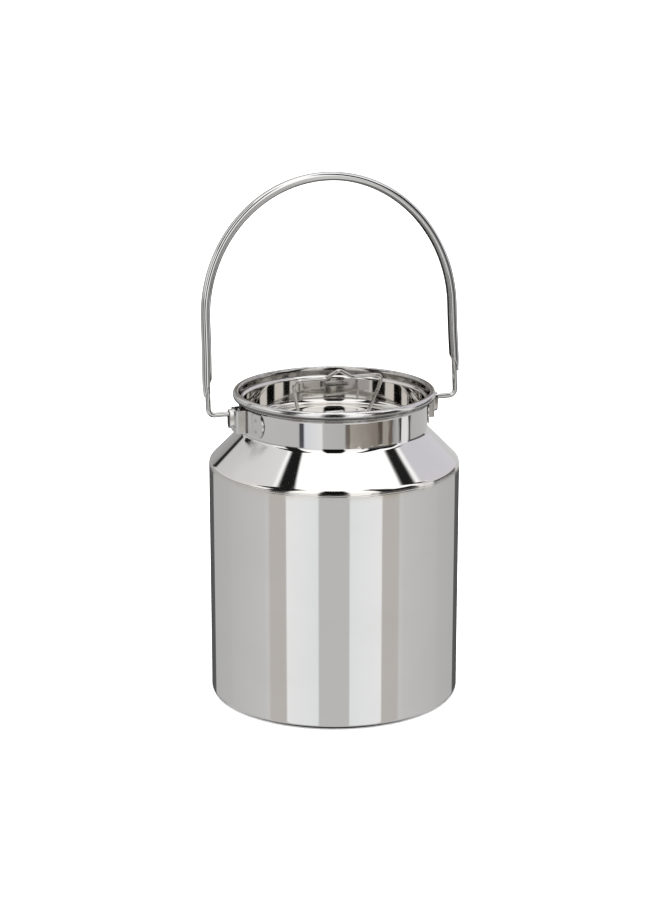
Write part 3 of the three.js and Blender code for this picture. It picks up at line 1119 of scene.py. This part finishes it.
def add_grip(wire):
    """A channel folded round the wire from outside, cut on a slant at its two ends."""
    side = GRIP["half_width"] - GRIP["sheet"] / 2
    outer = GRIP["back"] - GRIP["sheet"] / 2
    reach, rise, turn, bend = (GRIP_LIP[k] for k in ("reach", "rise", "turn", "bend"))
    middle = rounded(
        (-reach, -side + turn),
        (-reach + rise, -side, bend),
        (outer, -side, GRIP["bend"]),
        (outer, side, GRIP["bend"]),
        (-reach + rise, side, bend),
        (-reach, side - turn),
    )
    outline, spine = sheet_outline(middle, GRIP["sheet"])
    start = wire.distance_of_height(GRIP_FOOT["right"])
    end = wire.length - wire.distance_of_height(GRIP_FOOT["left"])
    stations = [(start, s, k) for s, k in GRIP_EDGE]
    stations += [(None, t / GRIP_STEPS, 1.0) for t in range(1, GRIP_STEPS)]
    stations += [(end, -s, k) for s, k in GRIP_EDGE[::-1]]
    rings, lay = [], []
    for anchor, value, thick in stations:
        ring = []
        for p, m in zip(outline, spine):
            q = m.lerp(p, thick)
            slant = GRIP_FOOT["cut"] * max(0.0, (outer - q.x) / (outer + reach))
            if anchor is None:
                s = start + slant + (end - start - 2 * slant) * value
            else:
                s = anchor + value + (slant if anchor == start else -slant)
            position, outward = wire.at(s)
            near_tip = 1 - min(1.0, min(s - start, end - s) / GRIP["taper"])
            pressed = 1 - (1 - GRIP["tip_back"] / GRIP["back"]) * near_tip**2 * (q.x > 0)
            ring.append(position + outward * q.x * pressed + Y_AXIS * q.y)
            lay.append((s, q.x, q.y))
        rings.append(ring)
    vertices, faces = lofted(rings, sheet_cap(outline))
    vertices = placed(vertices, BAIL_HEIGHT, BAIL_LEAN)
    piece("grip_channel", vertices, faces, "bail", "bail_grip", "grip_sheet", GRIP_STEEL, lay)


# ---- The lid ---------------------------------------------------------------------------


def add_lid():
    wall = LID_RADIUS - LID_SHEET / 2
    floor = LID_FLOOR_TOP - LID_SHEET / 2
    lip = wall + LID_LIP["out"]
    lip_bottom = LID_LIP["bottom"]
    middle = rounded(
        (0, floor),
        (wall, floor, LID_BEND),
        (wall, lip_bottom, LID_LIP["foot_bend"]),
        (lip, lip_bottom + LID_LIP["rise"], LID_LIP["bend"]),
        (lip, LID_TOP),
    )
    outline, _ = sheet_outline(middle, LID_SHEET, round_start=False)
    piece("lid_dish", *turned(outline), "lid", "lid_pan", "polished_lid", LID_STEEL)


def add_clip():
    """A strap folded over the ring's bottom bar, with its feet on the lid's floor."""
    feet = LID_FLOOR_TOP + CLIP["play"] + SHEET / 2
    hold = RING_WIRE / 2 + CLIP["play"] + SHEET / 2
    over = arc((0, RING_HEIGHT), (hold, hold), 180, 0, ARC_STEP * 1.5)
    right = rounded(over[-1], (hold, feet, CLIP["foot_bend"]), (CLIP["foot"], feet))
    left = [Vector((-p.x, p.y)) for p in right[::-1]]
    middle = left + over[1:-1] + right
    outline, spine = sheet_outline(middle, SHEET)
    half = CLIP["length"] / 2
    stations = [(s - half, k) for s, k in CLIP_EDGE] + [(half - s, k) for s, k in CLIP_EDGE[::-1]]
    rings = []
    for x, thick in stations:
        flat = [m.lerp(p, thick) for p, m in zip(outline, spine)]
        rings.append([(x, p.x, p.y) for p in flat])
    vertices, faces = lofted(rings, sheet_cap(outline))
    piece("lid_clip_strap", vertices, faces, "lid", "lid_ring_clip", "pressed_strip", STRIP_STEEL)


def ring_line():
    """The ring's middle line in (x, height over its pivot), from one end of the wire to the other."""
    peak = RING_PEAK
    top = RING["height"]
    right = [
        (RING_END_GAP / 2, 0),
        (RING["bottom"], 0, RING["bottom_bend"]),
        (RING["top"], top, RING["top_bend"]),
        (peak["half"], top, peak["foot_bend"]),
    ]
    left = [(-c[0], *c[1:]) for c in right[::-1]]
    return Wire(rounded(*right, (0, top + peak["rise"], peak["bend"]), *left))


def add_ring():
    radius = RING_WIRE / 2
    ends = [(s, radius * k) for s, k in RING_END]
    vertices, faces, lay = round_wire(ring_line(), radius, ends, WIRE_STEP["ring"])
    vertices = placed(vertices, RING_HEIGHT, RING_LEAN)
    piece("lift_ring", vertices, faces, "ring", "lid_ring", "ring_wire_steel", RING_STEEL, lay)


# ---- Scene -----------------------------------------------------------------------------

bpy.context.scene.view_settings.view_transform = "Standard"
add_camera()
add_world()
add_floor()
add_pot()
add_shoulder()
add_weld()
add_ear("ear_strap_right", "ear_right", 0)
add_ear("ear_strap_left", "ear_left", 180)
bail = bail_line()
add_bail_wire(bail)
add_grip(bail)
add_lid()
add_clip()
add_ring()
